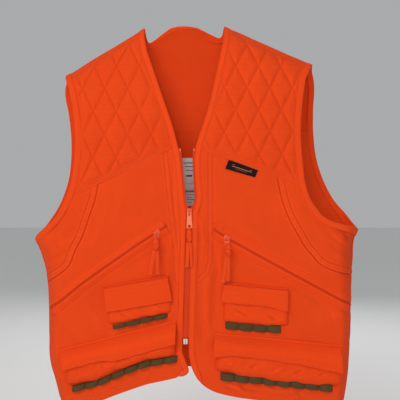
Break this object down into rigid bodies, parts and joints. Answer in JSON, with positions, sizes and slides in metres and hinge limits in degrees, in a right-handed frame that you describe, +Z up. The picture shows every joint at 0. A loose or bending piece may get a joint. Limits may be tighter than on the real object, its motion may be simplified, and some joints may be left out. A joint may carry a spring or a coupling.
{
  "type": "field vest",
  "caption": "Blaze orange sleeveless field vest with quilted yokes, partly open front zip, slanting zipped hand pockets and flapped bellows pockets over elastic shell loops.",
  "frame": {"origin": "where a hanger carries the vest: on its centre line at neck height, midway between front and back", "axes": "+Z up, fronts face -Y, +X is the wearer's left"},
  "size_m": [0.562, 0.1059, 0.6633],
  "materials": {
    "shell_cloth": "blaze orange brushed twill",
    "binding_cloth": "blaze orange bias binding",
    "lining_cloth": "blaze orange pocketing",
    "padding": "polyester wadding",
    "elastic": "olive brown ribbed elastic",
    "zip_coil": "orange nylon coil",
    "zip_tape": "orange woven tape",
    "zip_metal": "plain metal",
    "slider_paint": "orange enamel",
    "tab_paint": "light orange enamel",
    "label_black": "black woven label",
    "label_white": "off-white satin label"
  },
  "bodies": {
    "root": {"back_neck_binding": "binding_cloth", "back_panel": "shell_cloth", "back_yoke": "shell_cloth", "care_label": "label_white", "chest_label": "label_black", "flap_bands": "shell_cloth", "left_armhole_binding": "binding_cloth", "left_front_facing": "shell_cloth", "left_front_panel": "shell_cloth", "left_front_yoke": "shell_cloth", "left_large_pocket": "shell_cloth", "left_large_shell_loops": "elastic", "left_pocket_bag": "lining_cloth", "left_pocket_zip_coil": "zip_coil", "left_pocket_zip_tape": "zip_tape", "left_side_panel": "shell_cloth", "left_small_pocket": "shell_cloth", "left_small_shell_loops": "elastic", "left_yoke_padding": "padding", "main_zip_coil_left": "zip_coil", "main_zip_coil_right": "zip_coil", "main_zip_tape_left": "zip_tape", "main_zip_tape_right": "zip_tape", "neck_label": "label_white", "pocket_welts": "shell_cloth", "right_armhole_binding": "binding_cloth", "right_front_facing": "shell_cloth", "right_front_panel": "shell_cloth", "right_front_yoke": "shell_cloth", "right_large_pocket": "shell_cloth", "right_large_shell_loops": "elastic", "right_pocket_bag": "lining_cloth", "right_pocket_zip_coil": "zip_coil", "right_pocket_zip_tape": "zip_tape", "right_side_panel": "shell_cloth", "right_small_pocket": "shell_cloth", "right_small_shell_loops": "elastic", "right_yoke_padding": "padding", "zip_insertion_pin": "zip_coil", "zip_retainer_box": "zip_metal", "zip_stops": "zip_metal"},
    "main_slider": {"main_slider": "slider_paint"},
    "main_pull": {"main_pull_tab": "tab_paint", "main_pull_knot": "shell_cloth", "main_pull_tail_long": "shell_cloth", "main_pull_tail_short": "shell_cloth"},
    "right_pocket_slider": {"right_pocket_slider": "slider_paint"},
    "right_pocket_pull": {"right_pull_tab": "tab_paint", "right_pull_knot": "shell_cloth", "right_pull_tail_a": "shell_cloth", "right_pull_tail_b": "shell_cloth"},
    "left_pocket_slider": {"left_pocket_slider": "slider_paint"},
    "left_pocket_pull": {"left_pull_tab": "tab_paint", "left_pull_knot": "shell_cloth", "left_pull_tail_a": "shell_cloth", "left_pull_tail_b": "shell_cloth"},
    "right_small_flap": {"right_small_flap": "shell_cloth"},
    "left_small_flap": {"left_small_flap": "shell_cloth"},
    "right_large_flap": {"right_large_flap": "shell_cloth"},
    "left_large_flap": {"left_large_flap": "shell_cloth"}
  },
  "joints": [
    {"name": "main_slider_slide", "type": "slide", "parent": "root", "child": "main_slider", "axis": [-0.0302, 0, -0.9995], "range_m": [0, 0.2]},
    {"name": "main_pull_swing", "type": "hinge", "parent": "main_slider", "child": "main_pull", "pos_m": [0.00236, -0.0443, -0.32011], "axis": [-1, 0, 0], "range_deg": [0, 150]},
    {"name": "right_pocket_slider_slide", "type": "slide", "parent": "root", "child": "right_pocket_slider", "axis": [-0.8229, 0, -0.5682], "range_m": [0, 0.12]},
    {"name": "right_pocket_pull_swing", "type": "hinge", "parent": "right_pocket_slider", "child": "right_pocket_pull", "pos_m": [-0.0532, -0.0472, -0.35419], "axis": [-1, 0, 0], "range_deg": [0, 90]},
    {"name": "left_pocket_slider_slide", "type": "slide", "parent": "root", "child": "left_pocket_slider", "axis": [0.8764, 0, -0.4815], "range_m": [0, 0.17]},
    {"name": "left_pocket_pull_swing", "type": "hinge", "parent": "left_pocket_slider", "child": "left_pocket_pull", "pos_m": [0.06595, -0.0472, -0.36326], "axis": [-1, 0, 0], "range_deg": [0, 90]},
    {"name": "right_small_flap_hinge", "type": "hinge", "parent": "root", "child": "right_small_flap", "pos_m": [-0.14246, -0.0518, -0.44965], "axis": [-0.9866, 0, -0.1634], "range_deg": [0, 90]},
    {"name": "left_small_flap_hinge", "type": "hinge", "parent": "root", "child": "left_small_flap", "pos_m": [0.06103, -0.0518, -0.44336], "axis": [-0.9956, 0, 0.0938], "range_deg": [0, 90]},
    {"name": "right_large_flap_hinge", "type": "hinge", "parent": "root", "child": "right_large_flap", "pos_m": [-0.21709, -0.0433, -0.55709], "axis": [-0.9696, 0, -0.2449], "range_deg": [0, 105]},
    {"name": "left_large_flap_hinge", "type": "hinge", "parent": "root", "child": "left_large_flap", "pos_m": [0.04522, -0.0433, -0.52887], "axis": [-0.9952, 0, 0.0981], "range_deg": [0, 105]}
  ]
}
